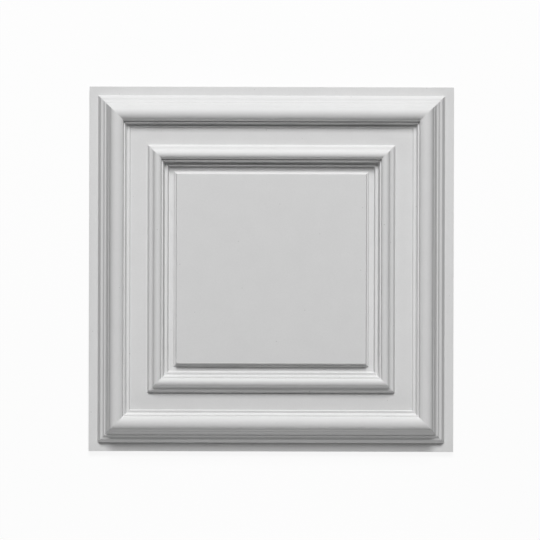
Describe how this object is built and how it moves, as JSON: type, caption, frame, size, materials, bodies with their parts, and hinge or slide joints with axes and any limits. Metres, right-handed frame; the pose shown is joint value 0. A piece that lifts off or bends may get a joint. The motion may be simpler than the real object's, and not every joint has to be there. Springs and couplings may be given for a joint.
{
  "type": "ceiling tile",
  "caption": "Square coffered ceiling tile of primed rigid foam, with an outer and an inner mitred moulding framing a raised flat centre panel, and a plain flange that lies on a ceiling grid.",
  "frame": {"origin": "centre of the flat back face", "axes": "+Z out of the moulded face, +Y towards the edge at the top of the picture, +X to the picture's right"},
  "size_m": [0.595, 0.595, 0.0463],
  "materials": {
    "primed_foam": "matte primer"
  },
  "bodies": {
    "root": {"ceiling_tile": "primed_foam"}
  },
  "joints": []
}
